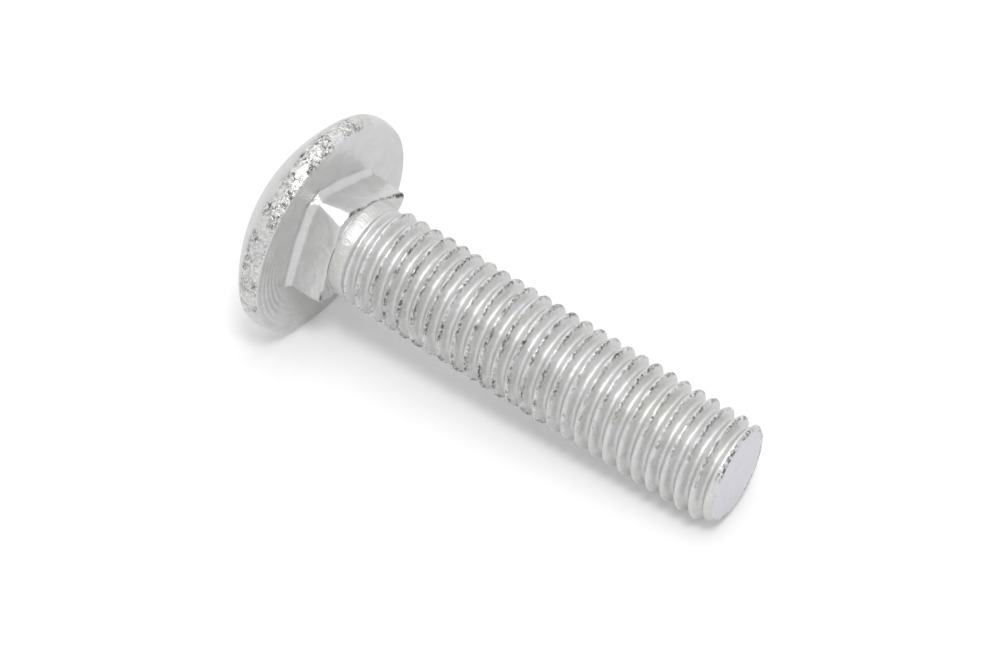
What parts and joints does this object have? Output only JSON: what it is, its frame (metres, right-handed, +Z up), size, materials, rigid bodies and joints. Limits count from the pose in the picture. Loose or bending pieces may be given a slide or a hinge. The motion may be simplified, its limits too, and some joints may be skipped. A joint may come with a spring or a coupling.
{
  "type": "carriage bolt",
  "caption": "Cup head square neck bolt with a low domed head, a short square neck and a coarse thread nearly up to the neck, lying on its side.",
  "frame": {"origin": "middle of the footprint at table height, below the bolt as it lies on its side", "axes": "+X runs along the bolt from the head towards the threaded end, +Z is up; the bolt's own axis slopes down by 7.6 degrees towards +X, because the head's rim is wider than the thread"},
  "size_m": [0.0504, 0.0214, 0.0214],
  "materials": {
    "galvanised_steel": "hot-dip galvanised steel, satin, with fine crinkled spangle on the rim and the thread's crests"
  },
  "bodies": {
    "root": {"bolt": "galvanised_steel"}
  },
  "joints": []
}
